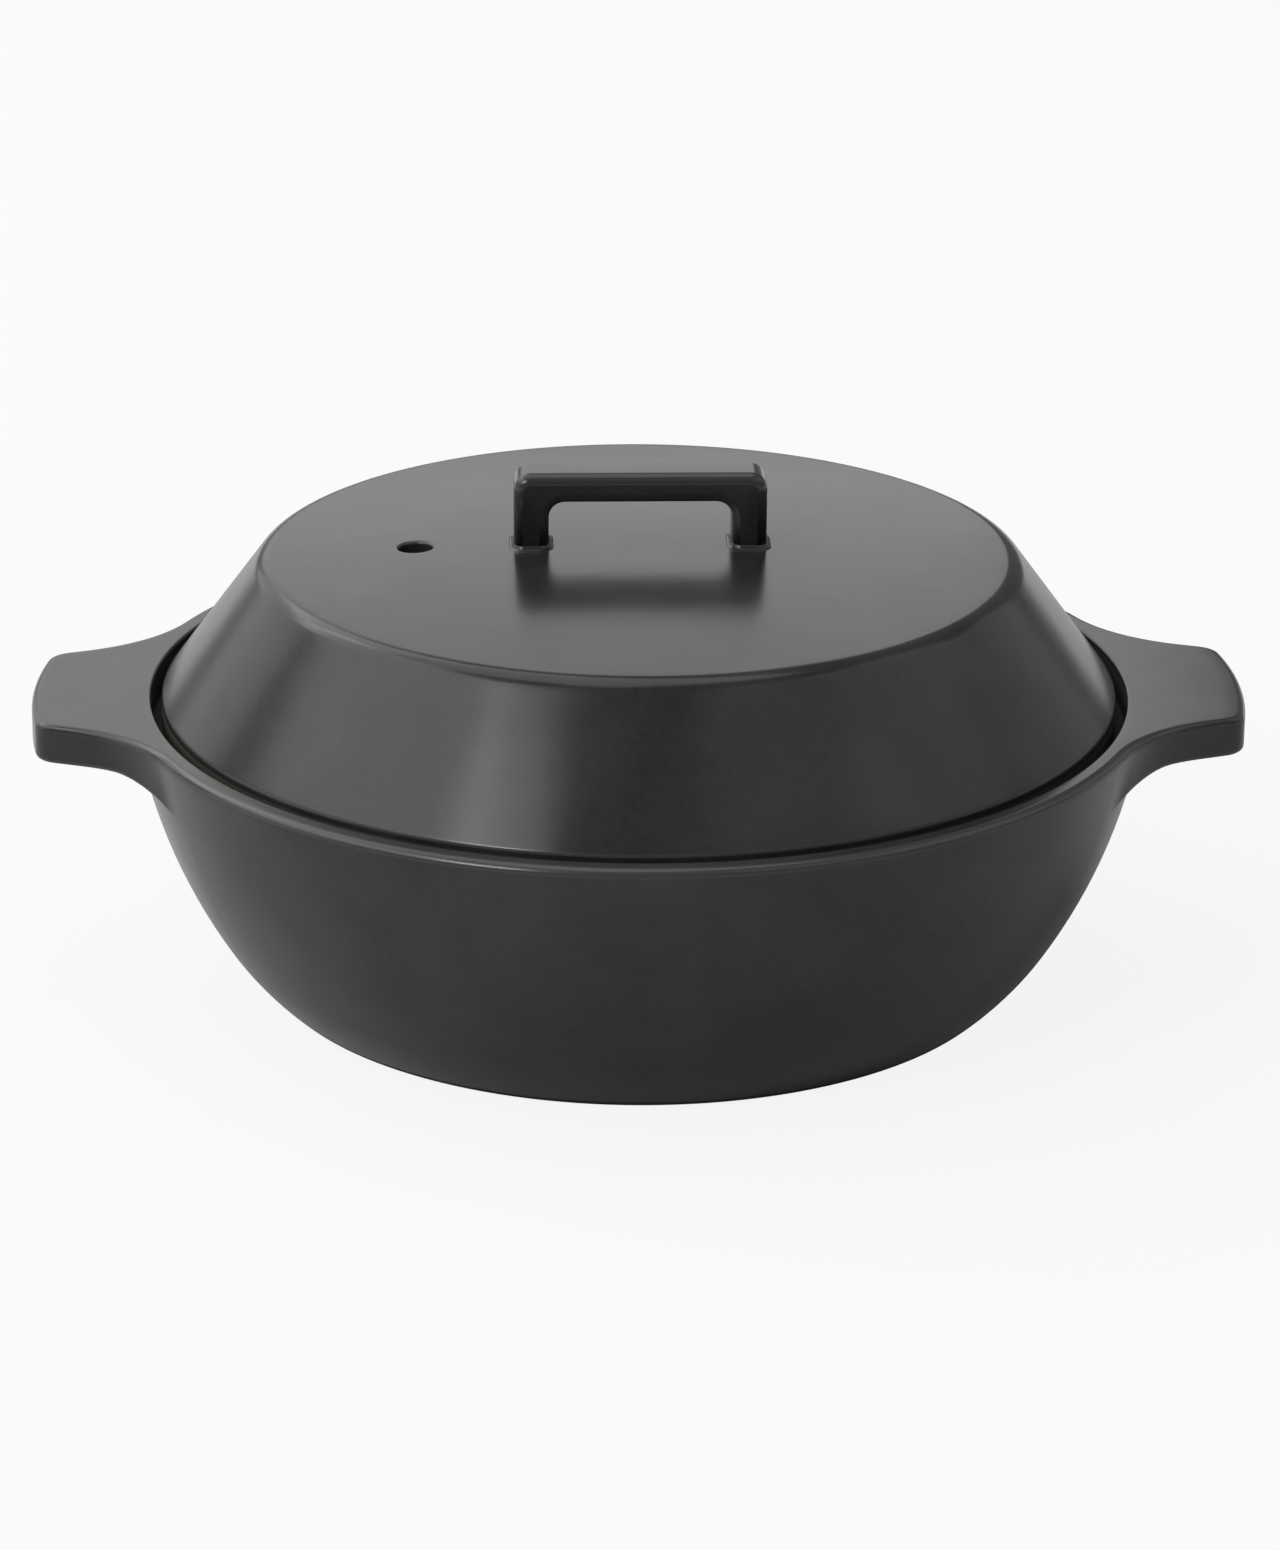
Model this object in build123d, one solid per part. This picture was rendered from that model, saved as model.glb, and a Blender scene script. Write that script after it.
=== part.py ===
# Donabe clay pot with two lug handles, a cone-shaped lid and a bridge handle on the lid.
# Millimetres. +Z is up and +X points to the right-hand lug, as seen from the front.
# The origin is the centre of the base, on the surface that the pot stands on.
# In a section, X is the distance from the pot's axis and Z is the height.
import os
from math import acos, cos, degrees, hypot, radians, sin, sqrt, tan

from build123d import *

# Bowl, outside
rim_height = 74.1
rim_radius = 128.8
rim_outer_rounding = 2.0
wall_slope = 13.0            # degrees from upright, on the straight part below the rim
straight_wall = 17.0         # height of that straight part
belly_radius = 135.0         # large arc of the side, in section
heel_radius = 70.0           # tighter arc that turns in to the foot, in section
heel_top = 15.0              # height at which the tighter arc begins
foot_rounding = 1.2
foot_ring_width = 12.0
foot_recess = 1.5

# Bowl, inside
rim_land = 6.0               # width of the rim, from its outer face to the lid's recess
rim_inner_rounding = 0.8
ledge_depth = 8.6            # rim plane down to the ledge that carries the lid
ledge_width = 9.0
ledge_rounding = 1.5
ledge_blend_radius = 25.0    # where the wall thickens to carry the ledge
wall_thickness = 8.5
floor_thickness = 8.5
floor_corner_radius = 25.0

# Lug handles
ear_length = 23.7            # rim to the tip
ear_thickness = 9.9
ear_tip_half_width = 25.5    # half width at the tip, before its corners are rounded
ear_taper = 20.0             # degrees between a side of the lug and its middle line
ear_flank_radius = 43.7      # hollow arc between a side and the rim
ear_end_radius = 136.0       # slight bow of the end
ear_corner_radius = 5.5
ear_edge_rounding = 2.0      # under the lug; its upper edge is rounded like the rim
ear_edge_steps = 3           # facets in the rounding under the lug
ear_root_radius = 12.0       # hollow blend under the lug
ear_root_crossing = 16.0     # degrees at which that blend meets the wall
ear_seat_margin = 4.5        # how much further the root reaches round the rim, let in flush
ear_seat_shelf = 0.3         # between the rim's rounding and the back of the root

# Lid
lid_gap = 2.8                # dark groove that shows all round the lid
lid_edge_stand = 0.4         # rim to the corner of cone and upright edge, before it is rounded
lid_edge_rounding = 2.0      # that corner
lid_foot_rounding = 1.5      # outer edge of the ring that the lid stands on
lid_cone_rise = 34.5         # height of the cone, from the edge to the shoulder
lid_cone_run = 25.4          # how far the cone draws in over that height
lid_shoulder_rounding = 6.0
lid_crown = 3.2              # rise of the lid's top above its shoulder
lid_thickness = 6.8
lid_seat_width = 8.5
lid_inner_rounding = 10.0
vent_radius = 4.3
vent_rounding = 0.8
vent_offset = 56.0           # pot axis to the vent, towards the left-hand lug

# Bridge handle on the lid
handle_length = 63.0
handle_depth = 13.0
handle_rise = 19.3           # lid's crown to the handle's top
handle_bar_thickness = 7.5
handle_leg_thickness = 8.7
handle_outer_corner = 4.2
handle_inner_corner = 4.0
handle_edge_rounding = 2.6
handle_socket_depth = 2.5    # how far the feet are let into the lid

overrun = 5.0                # how far a cutter reaches past what it cuts
same_place = 0.02            # how near two edges count as lying in one place


def turned(outline, angle=360.0):
    """A solid from a closed section, turned about the pot's axis and centred on the XZ plane."""
    solid = revolve(make_face(outline), Axis.Z, revolution_arc=angle)
    return solid if angle == 360.0 else Rot(0, 0, -angle / 2) * solid


def ring_edges(solid, radius, height):
    """The full circular edges of a solid at one radius and height."""
    return [
        edge for edge in solid.edges().filter_by(GeomType.CIRCLE)
        if abs(edge.radius - radius) < same_place and abs(edge.center().Z - height) < same_place
    ]


def down_arc(start, lean, radius, end_height):
    """Follow an arc down and inwards. lean is the cosine of its slope from level, at both ends."""
    end_lean = lean + (start[1] - end_height) / radius
    run = radius * (sqrt(1 - lean**2) - sqrt(1 - end_lean**2))
    return (start[0] - run, end_height), end_lean


def wall_radius(height, inset=0.0):
    """Radius of the straight part of the wall at a height, or of the cone inside it."""
    return rim_radius - inset - (rim_height - height) * tan(radians(wall_slope))


# Heights, radii and angles that several pieces share
wall_bottom = (wall_radius(rim_height - straight_wall), rim_height - straight_wall)
wall_lean = sin(radians(wall_slope))
heel_start, heel_lean = down_arc(wall_bottom, wall_lean, belly_radius, heel_top)
recess_radius = rim_radius - rim_land
ledge_height = rim_height - ledge_depth
cavity_radius = recess_radius - ledge_width
ear_reach = rim_radius + ear_length
ear_side = (cos(radians(ear_taper)), -sin(radians(ear_taper)))    # along a side, towards the tip
ear_away = (-ear_side[1], ear_side[0])                            # square to that side, outwards
ear_offset = ear_reach * ear_away[0] + ear_tip_half_width * ear_away[1]
ear_seat_depth = rim_outer_rounding / tan(radians((90.0 - wall_slope) / 2)) + ear_seat_shelf
lid_edge_radius = recess_radius - lid_gap
lid_edge_top = rim_height + lid_edge_stand
lid_shoulder_radius = lid_edge_radius - lid_cone_run
lid_shoulder_height = lid_edge_top + lid_cone_rise
lid_top_height = lid_shoulder_height + lid_crown


def along(lean):
    """Direction down and inwards in section, for a lean as in down_arc."""
    return (-lean, 0, -sqrt(1 - lean**2))


def at(point):
    """A section's point, radius and height, in space."""
    return (point[0], 0, point[1])


def moved_in(point, lean, inset):
    """A point of the bowl's side in section, moved in square to the side."""
    return (point[0] - inset * sqrt(1 - lean**2), point[1] + inset * lean)


def side_block(inset, bottom):
    """A solid with the form of the bowl's side, moved in by an inset, and the radius of its lower edge."""
    rim_edge = (wall_radius(rim_height, inset / cos(radians(wall_slope))), rim_height)
    wall_end = moved_in(wall_bottom, wall_lean, inset)
    belly_end = moved_in(heel_start, heel_lean, inset)
    heel_end = down_arc(belly_end, heel_lean, heel_radius - inset, bottom)[0]
    outline = Polyline(at(heel_end), (0, 0, bottom), (0, 0, rim_height), at(rim_edge), at(wall_end))
    belly = TangentArc(at(wall_end), at(belly_end), tangent=along(wall_lean))
    heel = TangentArc(at(belly_end), at(heel_end), tangent=along(heel_lean))
    return turned(outline + belly + heel), heel_end[0]


def up_cylinder(radius, bottom, top):
    """A cylinder on the pot's axis between two heights."""
    return Pos(0, 0, bottom) * extrude(Circle(radius), top - bottom)


def make_pot_bowl():
    """Bowl of even thickness, with a ledge for the lid, a shallow foot ring and seats for the lugs."""
    block, foot_radius = side_block(0, 0)
    block = fillet(ring_edges(block, rim_radius, rim_height), rim_outer_rounding)
    block = fillet(ring_edges(block, foot_radius, 0), foot_rounding)

    # the cavity follows the side, and is narrowed under the ledge
    cavity, floor_radius = side_block(wall_thickness, floor_thickness)
    cavity = fillet(ring_edges(cavity, floor_radius, floor_thickness), floor_corner_radius)
    cavity &= up_cylinder(cavity_radius, 0, rim_height)
    narrowed = [
        edge for edge in cavity.edges()
        if edge.is_closed and abs(hypot((edge @ 0).X, (edge @ 0).Y) - cavity_radius) < same_place
    ]
    cavity = fillet(ShapeList(narrowed).sort_by(Axis.Z)[0], ledge_blend_radius)
    bowl = block - cavity - up_cylinder(recess_radius, ledge_height, rim_height + overrun)
    bowl = fillet(ring_edges(bowl, cavity_radius, ledge_height), ledge_rounding)
    bowl = fillet(ring_edges(bowl, recess_radius, rim_height), rim_inner_rounding)
    bowl -= up_cylinder(foot_radius - foot_ring_width, -overrun, foot_recess)
    seat = ear_seat()
    return bowl - seat - mirror(seat, about=Plane.YZ)


# Section of the hollow blend under a lug
underside = rim_height - ear_thickness
root_turn = radians(90.0 - wall_slope - ear_root_crossing)
root_bottom = underside - ear_root_radius * (1 - cos(root_turn))
root_edge = (wall_radius(root_bottom), root_bottom)
root_end = (root_edge[0] + ear_root_radius * sin(root_turn), underside)


def merge_angle(outer, hollow):
    """Degrees round the pot at which a lug's hollow flank touches a circle."""
    return 90.0 - ear_taper - degrees(acos((ear_offset + ear_flank_radius) / (outer + hollow)))


ear_seat_angle = merge_angle(rim_radius, ear_flank_radius) + degrees(ear_seat_margin / rim_radius)


def ear_seat():
    """The space in the bowl's wall that the root of the right-hand lug fills."""
    top = rim_height + overrun
    far = ear_reach + overrun
    corners = [
        (wall_radius(root_bottom, ear_seat_depth), root_bottom),
        (wall_radius(top, ear_seat_depth), top),
        (far, top),
        (far, root_bottom),
    ]
    return turned(Polyline([at(corner) for corner in corners], close=True), 2 * ear_seat_angle)


def around(radius, angle, height):
    """A point at a radius and an angle round the pot from the right-hand lug."""
    return (radius * cos(radians(angle)), radius * sin(radians(angle)), height)


def in_plan(point, height):
    """A point in plan, lifted to a height."""
    return (point[0], point[1], height)


def ear_outline(height, inset=0.0):
    """Plan of the right-hand lug and its root at one height, drawn in by an inset all round the tongue."""
    outer = wall_radius(height)

    # a hollow arc touches the wall's circle and the straight side
    hollow = ear_flank_radius + inset
    angle = merge_angle(outer, hollow)
    merge = around(outer, angle, height)
    middle = around(outer + hollow, angle, height)
    side_start = in_plan((middle[0] - hollow * ear_away[0], middle[1] - hollow * ear_away[1]), height)

    # a corner arc touches the straight side and the bowed end
    corner = ear_corner_radius - inset
    bow = ear_end_radius - inset
    bow_middle = ear_reach - ear_end_radius
    drop = ear_offset - inset - corner - bow_middle * ear_away[0]
    run = sqrt((bow - corner)**2 - drop**2)
    turn = (bow_middle + drop * ear_away[0] + run * ear_side[0], drop * ear_away[1] + run * ear_side[1])
    side_end = in_plan((turn[0] + corner * ear_away[0], turn[1] + corner * ear_away[1]), height)
    stretch = bow / (bow - corner)
    end_start = in_plan((bow_middle + stretch * (turn[0] - bow_middle), stretch * turn[1]), height)

    root_start = around(wall_radius(height, ear_seat_depth), ear_seat_angle, height)
    rim_start = around(outer, ear_seat_angle, height)
    rim_middle = around(outer, (ear_seat_angle + angle) / 2, height)
    rim_way = (sin(radians(angle)), -cos(radians(angle)), 0)
    one_side = [
        Line(root_start, rim_start),
        ThreePointArc(rim_start, rim_middle, merge),
        TangentArc(merge, side_start, tangent=rim_way),
        Line(side_start, side_end),
        TangentArc(side_end, end_start, tangent=in_plan(ear_side, 0)),
    ]
    other_side = [mirror(edge, about=Plane.XZ).edge() for edge in reversed(one_side)]
    end = ThreePointArc(one_side[-1] @ 1, (ear_reach - inset, 0, height), other_side[0] @ 1)
    seat_middle = around(wall_radius(height, ear_seat_depth), 0, height)
    back = ThreePointArc(other_side[-1] @ 0, seat_middle, one_side[0] @ 0)
    return Wire([*one_side, end, *other_side, back])


def make_ear():
    """Right-hand lug: a flat tongue flush with the rim, its root let into the bowl's wall."""
    outlines = [ear_outline(root_bottom, ear_edge_rounding)]
    for step in range(ear_edge_steps + 1):
        turn = radians(90.0 * step / ear_edge_steps)
        height = underside + ear_edge_rounding * (1 - cos(turn))
        outlines.append(ear_outline(height, ear_edge_rounding * (1 - sin(turn))))
    outlines.append(ear_outline(rim_height))
    lug = Solid.make_loft(outlines, ruled=True)

    # take away what lies under the tongue and outside the hollow blend
    far = ear_reach + overrun
    low = root_bottom - overrun
    below = Polyline(at(root_end), (far, 0, underside), (far, 0, low), (root_edge[0], 0, low), at(root_edge))
    blend = TangentArc(at(root_end), at(root_edge), tangent=(-1, 0, 0))
    lug -= turned(below + blend)
    seat_radius = wall_radius(rim_height, ear_seat_depth)
    top_edges = lug.edges().filter_by_position(Axis.Z, rim_height, rim_height)
    outer_edges = [
        edge for edge in top_edges
        if min(hypot(end.X, end.Y) for end in (edge @ 0, edge @ 1)) > seat_radius + ear_seat_depth / 2
    ]
    return fillet(outer_edges, rim_outer_rounding)


def make_lid_block():
    """The lid's outside as a solid block that stands on the ledge."""
    shoulder = (lid_shoulder_radius, lid_shoulder_height)
    dome = dome_arc(lid_shoulder_radius, lid_shoulder_height)
    side = Polyline(
        at(shoulder), (lid_edge_radius, 0, lid_edge_top), (lid_edge_radius, 0, ledge_height), (0, 0, ledge_height),
        (0, 0, lid_top_height),
    )
    block = turned(dome + side)
    block = fillet(ring_edges(block, lid_shoulder_radius, lid_shoulder_height), lid_shoulder_rounding)
    block = fillet(ring_edges(block, lid_edge_radius, lid_edge_top), lid_edge_rounding)
    return fillet(ring_edges(block, lid_edge_radius, ledge_height), lid_foot_rounding)


def dome_arc(radius, height):
    """Arc in section from the top of a shallow dome out to its edge."""
    dome_radius = (lid_shoulder_radius**2 + lid_crown**2) / (2 * lid_crown)
    top = height + dome_radius - sqrt(dome_radius**2 - radius**2)
    return TangentArc((0, 0, top), (radius, 0, height), tangent=(1, 0, 0))


def make_lid_hollow():
    """The space under the lid."""
    slope = lid_cone_run / lid_cone_rise
    seat_inner = lid_edge_radius - lid_seat_width
    inner_height = lid_shoulder_height - lid_thickness
    # a line parallel to the cone and inside it by the thickness
    inner_line = lid_shoulder_radius - lid_thickness * hypot(1, slope)
    inner_shoulder = inner_line + lid_thickness * slope
    inner_edge_top = lid_shoulder_height - (seat_inner - inner_line) / slope
    dome = dome_arc(inner_shoulder, inner_height)
    side = Polyline(
        (inner_shoulder, 0, inner_height), (seat_inner, 0, inner_edge_top), (seat_inner, 0, ledge_height - overrun),
        (0, 0, ledge_height - overrun), dome @ 0,
    )
    hollow = turned(dome + side)
    return fillet(ring_edges(hollow, inner_shoulder, inner_height), lid_inner_rounding)


def make_lid(handle):
    """Hollow lid with a steam vent and sockets for the feet of its handle."""
    vent = Pos(-vent_offset, 0, ledge_height) * extrude(Circle(vent_radius), lid_top_height)
    lid = make_lid_block() - make_lid_hollow() - vent
    # the lid's only short closed edges are the two round the vent
    vent_edges = [edge for edge in lid.edges() if edge.is_closed and edge.length < lid_shoulder_radius]
    return fillet(vent_edges, vent_rounding) - handle


def make_lid_handle():
    """Squared bridge handle whose feet reach into the lid."""
    top = lid_top_height + handle_rise
    bottom = lid_top_height - handle_socket_depth
    half = handle_length / 2
    inner_half = half - handle_leg_thickness
    bar_bottom = top - handle_bar_thickness
    outline = Polyline(
        (-half, 0, bottom), (-half, 0, top), (half, 0, top), (half, 0, bottom), (inner_half, 0, bottom),
        (inner_half, 0, bar_bottom), (-inner_half, 0, bar_bottom), (-inner_half, 0, bottom), close=True,
    )
    bridge = extrude(make_face(outline), handle_depth / 2, both=True)
    across = bridge.edges().filter_by(Axis.Y)
    bridge = fillet(across.filter_by_position(Axis.Z, top, top), handle_outer_corner)
    across = bridge.edges().filter_by(Axis.Y)
    inner_corners = across.filter_by_position(Axis.Z, bar_bottom, bar_bottom)
    bridge = fillet(inner_corners, handle_inner_corner)
    sides = bridge.faces().sort_by(Axis.Y)
    edges = (sides[0].edges() + sides[-1].edges()).filter_by(lambda edge: edge.center().Z > bottom + handle_socket_depth)
    return fillet(edges, handle_edge_rounding)


os.makedirs("parts", exist_ok=True)

lid_handle = make_lid_handle()
ear_right = make_ear()
nodes = {
    "pot_bowl": make_pot_bowl(),
    "ear_right": ear_right,
    "ear_left": mirror(ear_right, about=Plane.YZ),
    "lid": make_lid(lid_handle),
    "lid_handle": lid_handle,
}
for name, solid in nodes.items():
    export_step(solid, f"parts/{name}.step")
    size = solid.bounding_box().size
    print(name, "volume", round(solid.volume), "size", [round(length, 1) for length in size])
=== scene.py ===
# %% [markdown]
# # A donabe: a clay pot with a loose lid
#
# A donabe is a low stoneware pot for simmering at the table. This one is charcoal grey all
# over, with two flat lugs that run out of its rim, a lid shaped like a cut-off cone, a steam
# vent, and a squared handle on top.
# The sizes, the joints and the weight live in a CAD model. This script loads it as a fixed
# frame and dresses it: each visible piece is modelled here with softer edges and a glaze.

# %% Load the fixed frame
from bisect import bisect_left
from math import acos, atan2, cos, degrees, hypot, pi, radians, sin, sqrt, tan

import bmesh
import bpy
from mathutils import Matrix, Vector


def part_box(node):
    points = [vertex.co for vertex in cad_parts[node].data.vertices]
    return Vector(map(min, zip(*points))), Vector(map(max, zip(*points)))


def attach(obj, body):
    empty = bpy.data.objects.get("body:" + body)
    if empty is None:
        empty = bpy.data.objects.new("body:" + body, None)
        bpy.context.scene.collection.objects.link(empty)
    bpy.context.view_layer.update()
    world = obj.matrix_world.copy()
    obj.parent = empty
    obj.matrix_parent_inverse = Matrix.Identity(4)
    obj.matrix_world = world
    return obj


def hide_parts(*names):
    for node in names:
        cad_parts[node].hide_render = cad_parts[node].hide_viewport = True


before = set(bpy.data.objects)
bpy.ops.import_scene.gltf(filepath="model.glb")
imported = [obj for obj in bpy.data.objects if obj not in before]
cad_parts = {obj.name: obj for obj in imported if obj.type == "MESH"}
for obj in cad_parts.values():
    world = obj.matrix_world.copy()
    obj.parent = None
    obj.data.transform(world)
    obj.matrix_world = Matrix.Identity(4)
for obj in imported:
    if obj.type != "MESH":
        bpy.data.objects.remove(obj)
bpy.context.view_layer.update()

MM = 0.001
CM3 = 1e-6

# %% [markdown]
# ## Sizes
#
# The frame gives the overall sizes, such as the height of the rim and the reach of the lugs.
# What a box can't tell, such as the slope of the wall or a rounding, is written here once,
# in millimetres times MM, because Blender works in metres.
# A rounding between a sloping wall and a level rim hides the sharp corner that both would
# meet in, so the rim's sharp radius is worked back from the widest point of the rounding.

# %% Sizes of the pot
bowl_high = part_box("pot_bowl")[1]
rim_height = bowl_high.z
rim_rounding = 2.0 * MM
wall_slope = radians(13.0)
rim_radius = bowl_high.y + rim_rounding * (tan(wall_slope) + 1 / cos(wall_slope) - 1)
straight_wall = 17.0 * MM
belly_radius = 135.0 * MM
heel_radius = 70.0 * MM
heel_top = 15.0 * MM
foot_rounding = 1.2 * MM
foot_ring_width = 12.0 * MM
foot_recess = 1.5 * MM
small_rounding = 0.6 * MM
rim_land = 6.0 * MM
rim_inner_rounding = 0.8 * MM
ledge_width = 9.0 * MM
ledge_rounding = 1.5 * MM
ledge_blend = 25.0 * MM
wall_thickness = 8.5 * MM
floor_height = 8.5 * MM
floor_corner = 25.0 * MM
print("rim radius in mm:", round(rim_radius / MM, 2), "height:", round(rim_height / MM, 2))

# %% Sizes of the lugs
lug_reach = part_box("ear_right")[1].x
lug_thickness = 9.9 * MM
lug_tip_half_width = 25.5 * MM
lug_taper = radians(20.0)
lug_flank_radius = 43.7 * MM
lug_end_radius = 136.0 * MM
lug_corner_radius = 5.5 * MM
lug_edge_rounding = 2.0 * MM
lug_root_radius = 12.0 * MM
lug_root_crossing = radians(16.0)
print("lugs reach", round(lug_reach / MM, 2), "mm from the axis")

# %% Sizes of the lid and its handle
lid_low, lid_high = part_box("lid")
handle_low, handle_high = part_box("lid_handle")
lid_radius = lid_high.y
ledge_height = lid_low.z
lid_top = lid_high.z
lid_crown = 3.2 * MM
lid_shoulder_height = lid_top - lid_crown
lid_cone_rise = 34.5 * MM
lid_cone_run = 25.4 * MM
lid_shoulder_radius = lid_radius - lid_cone_run
lid_edge_top = lid_shoulder_height - lid_cone_rise
lid_shoulder_rounding = 6.0 * MM
lid_edge_rounding = 2.0 * MM
lid_foot_rounding = 1.5 * MM
lid_thickness = 6.8 * MM
lid_seat_width = 8.5 * MM
seat_inner_rounding = 0.8 * MM
hollow_foot_rounding = 4.0 * MM
lid_inner_rounding = 10.0 * MM
vent_radius = 4.3 * MM
vent_rounding = 0.8 * MM
vent_offset = 56.0 * MM
handle_bar = 7.5 * MM
handle_leg = 8.7 * MM
handle_outer_corner = 4.2 * MM
handle_inner_corner = 4.0 * MM
handle_edge = 2.6 * MM
print("lid stands", round((lid_edge_top - rim_height) / MM, 2), "mm above the rim at its edge")

# %% [markdown]
# ## Helpers for a section
#
# Almost everything on a pot is turned, so most pieces start as a section: a chain of points
# with a distance from the axis and a height. A lathe or a potter's wheel works the same way.
# Three small helpers make such a chain: an arc by its centre, a rounded corner between two
# straight runs, and evenly spaced points along a straight run.

# %% Section helpers
def arc(centre, radius, start, end, steps):
    """Points on an arc, by angles from the outward direction."""
    turns = [start + (end - start) * step / steps for step in range(steps + 1)]
    return [(centre[0] + radius * cos(turn), centre[1] + radius * sin(turn)) for turn in turns]


def rounded(before, corner, after, radius, steps):
    """Points that round a corner of a section with an arc."""
    way_in = Vector(corner) - Vector(before)
    way_out = Vector(after) - Vector(corner)
    turn = way_in.angle_signed(way_out)
    reach = radius * tan(abs(turn) / 2)
    start = Vector(corner) - way_in.normalized() * reach
    side = -1 if turn > 0 else 1
    square = Vector((-way_in.y, way_in.x)).normalized() * side
    centre = start + square * radius
    first = atan2(-square.y, -square.x)
    return arc(centre, radius, first, first + side * abs(turn), steps)


def between(start, end, shares):
    """Points on a straight run, at shares of its length."""
    return [tuple(Vector(start).lerp(Vector(end), share)) for share in shares]


# %% [markdown]
# ## From a section to a mesh
#
# `bmesh.ops.spin` turns a chain of edges about the axis. With `use_merge` the last column
# joins the first, so the shell closes. Points on the axis are made once for each column, and
# removing doubles melts them to one pole. Then the normals are recalculated to point out.
#
# Wet glaze runs off a sharp edge and stays thinner there, and a rounding catches a highlight, so
# each vertex also gets a number for how sharply the surface bends outwards. The material paints such
# edges paler with it: partly thinner glaze, partly a painted highlight. A curvature node could give that
# in the material, but only in one render engine. A number kept in the mesh goes wherever the mesh goes.

# %% Turn a section
def turn_section(points, columns):
    """A bmesh turned about the Z axis. Each vertex keeps its place in the section in a layer."""
    bm = bmesh.new()
    ring = bm.verts.layers.int.new("ring")
    chain = []
    for number, (radius, height) in enumerate(points):
        vertex = bm.verts.new((radius, 0, height))
        vertex[ring] = number
        chain.append(vertex)
    edges = [bm.edges.new(pair) for pair in zip(chain, chain[1:])]
    bmesh.ops.spin(
        bm, geom=chain + edges, cent=(0, 0, 0), axis=(0, 0, 1), dvec=(0, 0, 0),
        angle=2 * pi, steps=columns, use_merge=True, use_duplicate=False,
    )
    return bm, ring


# %% Mark the edges, and finish a mesh
sharp_rounding = 2.0 * MM
softening_passes = 3


def mark_edges(bm):
    """Store for each vertex how sharply the surface bends outwards: 0 flat, 1 a sharp rounding."""
    bm.normal_update()
    bm.verts.index_update()
    bends, neighbours = [], []
    for vertex in bm.verts:
        others = [edge.other_vert(vertex) for edge in vertex.link_edges]
        curves = []
        for other in others:
            way = other.co - vertex.co
            curves.append((other.normal - vertex.normal).dot(way) / way.length_squared)
        # inside a rounding two edges bend, where it ends only one does, and a flat face starts
        bends.append(min(max(sorted(curves)[-2], 0.0) * sharp_rounding, 1.0))
        neighbours.append([other.index for other in others])
    # a faint crease is only a few vertices wide and fades here, a full rounding keeps its value
    for _ in range(softening_passes):
        means = [sum(bends[other] for other in near) / len(near) for near in neighbours]
        bends = [(own + mean) / 2 for own, mean in zip(bends, means)]
    bend_layer = bm.verts.layers.float.new("edge_bend")
    for vertex, bend in zip(bm.verts, bends):
        vertex[bend_layer] = bend


weld_distance = 0.001 * MM


def finish_mesh(bm, name):
    """Close the poles, point the faces outwards and make the mesh a smooth object."""
    bmesh.ops.remove_doubles(bm, verts=bm.verts, dist=weld_distance)
    bmesh.ops.recalc_face_normals(bm, faces=bm.faces)
    mark_edges(bm)
    open_edges = sum(len(edge.link_faces) != 2 for edge in bm.edges)
    volume = bm.calc_volume(signed=True)
    mesh = bpy.data.meshes.new(name)
    bm.to_mesh(mesh)
    bm.free()
    mesh.polygons.foreach_set("use_smooth", [True] * len(mesh.polygons))
    piece = bpy.data.objects.new(name, mesh)
    bpy.context.scene.collection.objects.link(piece)
    # flat faces count for more than the narrow ones beside them, so they stay flat to the eye
    shading = piece.modifiers.new("even_shading", "WEIGHTED_NORMAL")
    shading.weight = 50
    print(name, "faces:", len(mesh.polygons), "open edges:", open_edges, "cm3:", round(volume / CM3, 1))
    return piece


def new_edges(grown):
    """The edges among what an extrusion gave back."""
    return [item for item in grown["geom"] if isinstance(item, bmesh.types.BMEdge)]


# %% [markdown]
# ## The pot's wall and its lugs in plan
#
# The bowl is turned, and a real lug is a slab of clay joined to the rim and smoothed in with
# a wet finger. It could be a second mesh pushed into the bowl, but then a hard line shows
# where the two meet. Here the lug is pulled out of the turned bowl instead: every column of
# vertices near the lug gets its own section, so wall and lug are one skin.
#
# In plan the lug's outline is a hollow flank that leaves the rim without a corner, a straight
# tapering side, a small corner and a slightly bowed end.

# %% The lug's outline seen from above
def wall_radius(height):
    return rim_radius - (rim_height - height) * tan(wall_slope)


lug_side = Vector((cos(lug_taper), -sin(lug_taper)))
lug_away = Vector((sin(lug_taper), cos(lug_taper)))
lug_offset = lug_away.dot((lug_reach, lug_tip_half_width))
bow_middle = Vector((lug_reach - lug_end_radius, 0))
corner_drop = lug_offset - lug_corner_radius - lug_away.dot(bow_middle)
corner_run = sqrt((lug_end_radius - lug_corner_radius)**2 - corner_drop**2)
corner_middle = bow_middle + corner_drop * lug_away + corner_run * lug_side
corner_start = corner_middle + lug_corner_radius * lug_away
corner_end = bow_middle + (corner_middle - bow_middle).normalized() * lug_end_radius


def plan_angle(point):
    return atan2(point[1], point[0])


def merge_angle(outer):
    """The angle at which the lug's flank has run into a circle."""
    return pi / 2 - lug_taper - acos((lug_offset + lug_flank_radius) / (outer + lug_flank_radius))


def far_crossing(way, centre, radius, sign):
    """Distance along a ray from the axis to its far (1) or near (-1) crossing of a circle."""
    along = centre.dot(way)
    return along + sign * sqrt(along**2 - centre.length_squared + radius**2)


def outline_radius(angle, height):
    """Distance from the axis to the pot's outline at an angle from the middle of a lug."""
    outer = wall_radius(height)
    merge = merge_angle(outer)
    if angle >= merge:
        return outer
    way = Vector((cos(angle), sin(angle)))
    if angle <= plan_angle(corner_end):
        return far_crossing(way, bow_middle, lug_end_radius, 1)
    if angle <= plan_angle(corner_start):
        return far_crossing(way, corner_middle, lug_corner_radius, 1)
    flank_middle = Vector((cos(merge), sin(merge))) * (outer + lug_flank_radius)
    flank_end = flank_middle - lug_flank_radius * lug_away
    if angle <= plan_angle(flank_end):
        return lug_offset / way.dot(lug_away)
    return far_crossing(way, flank_middle, lug_flank_radius, -1)


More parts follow.
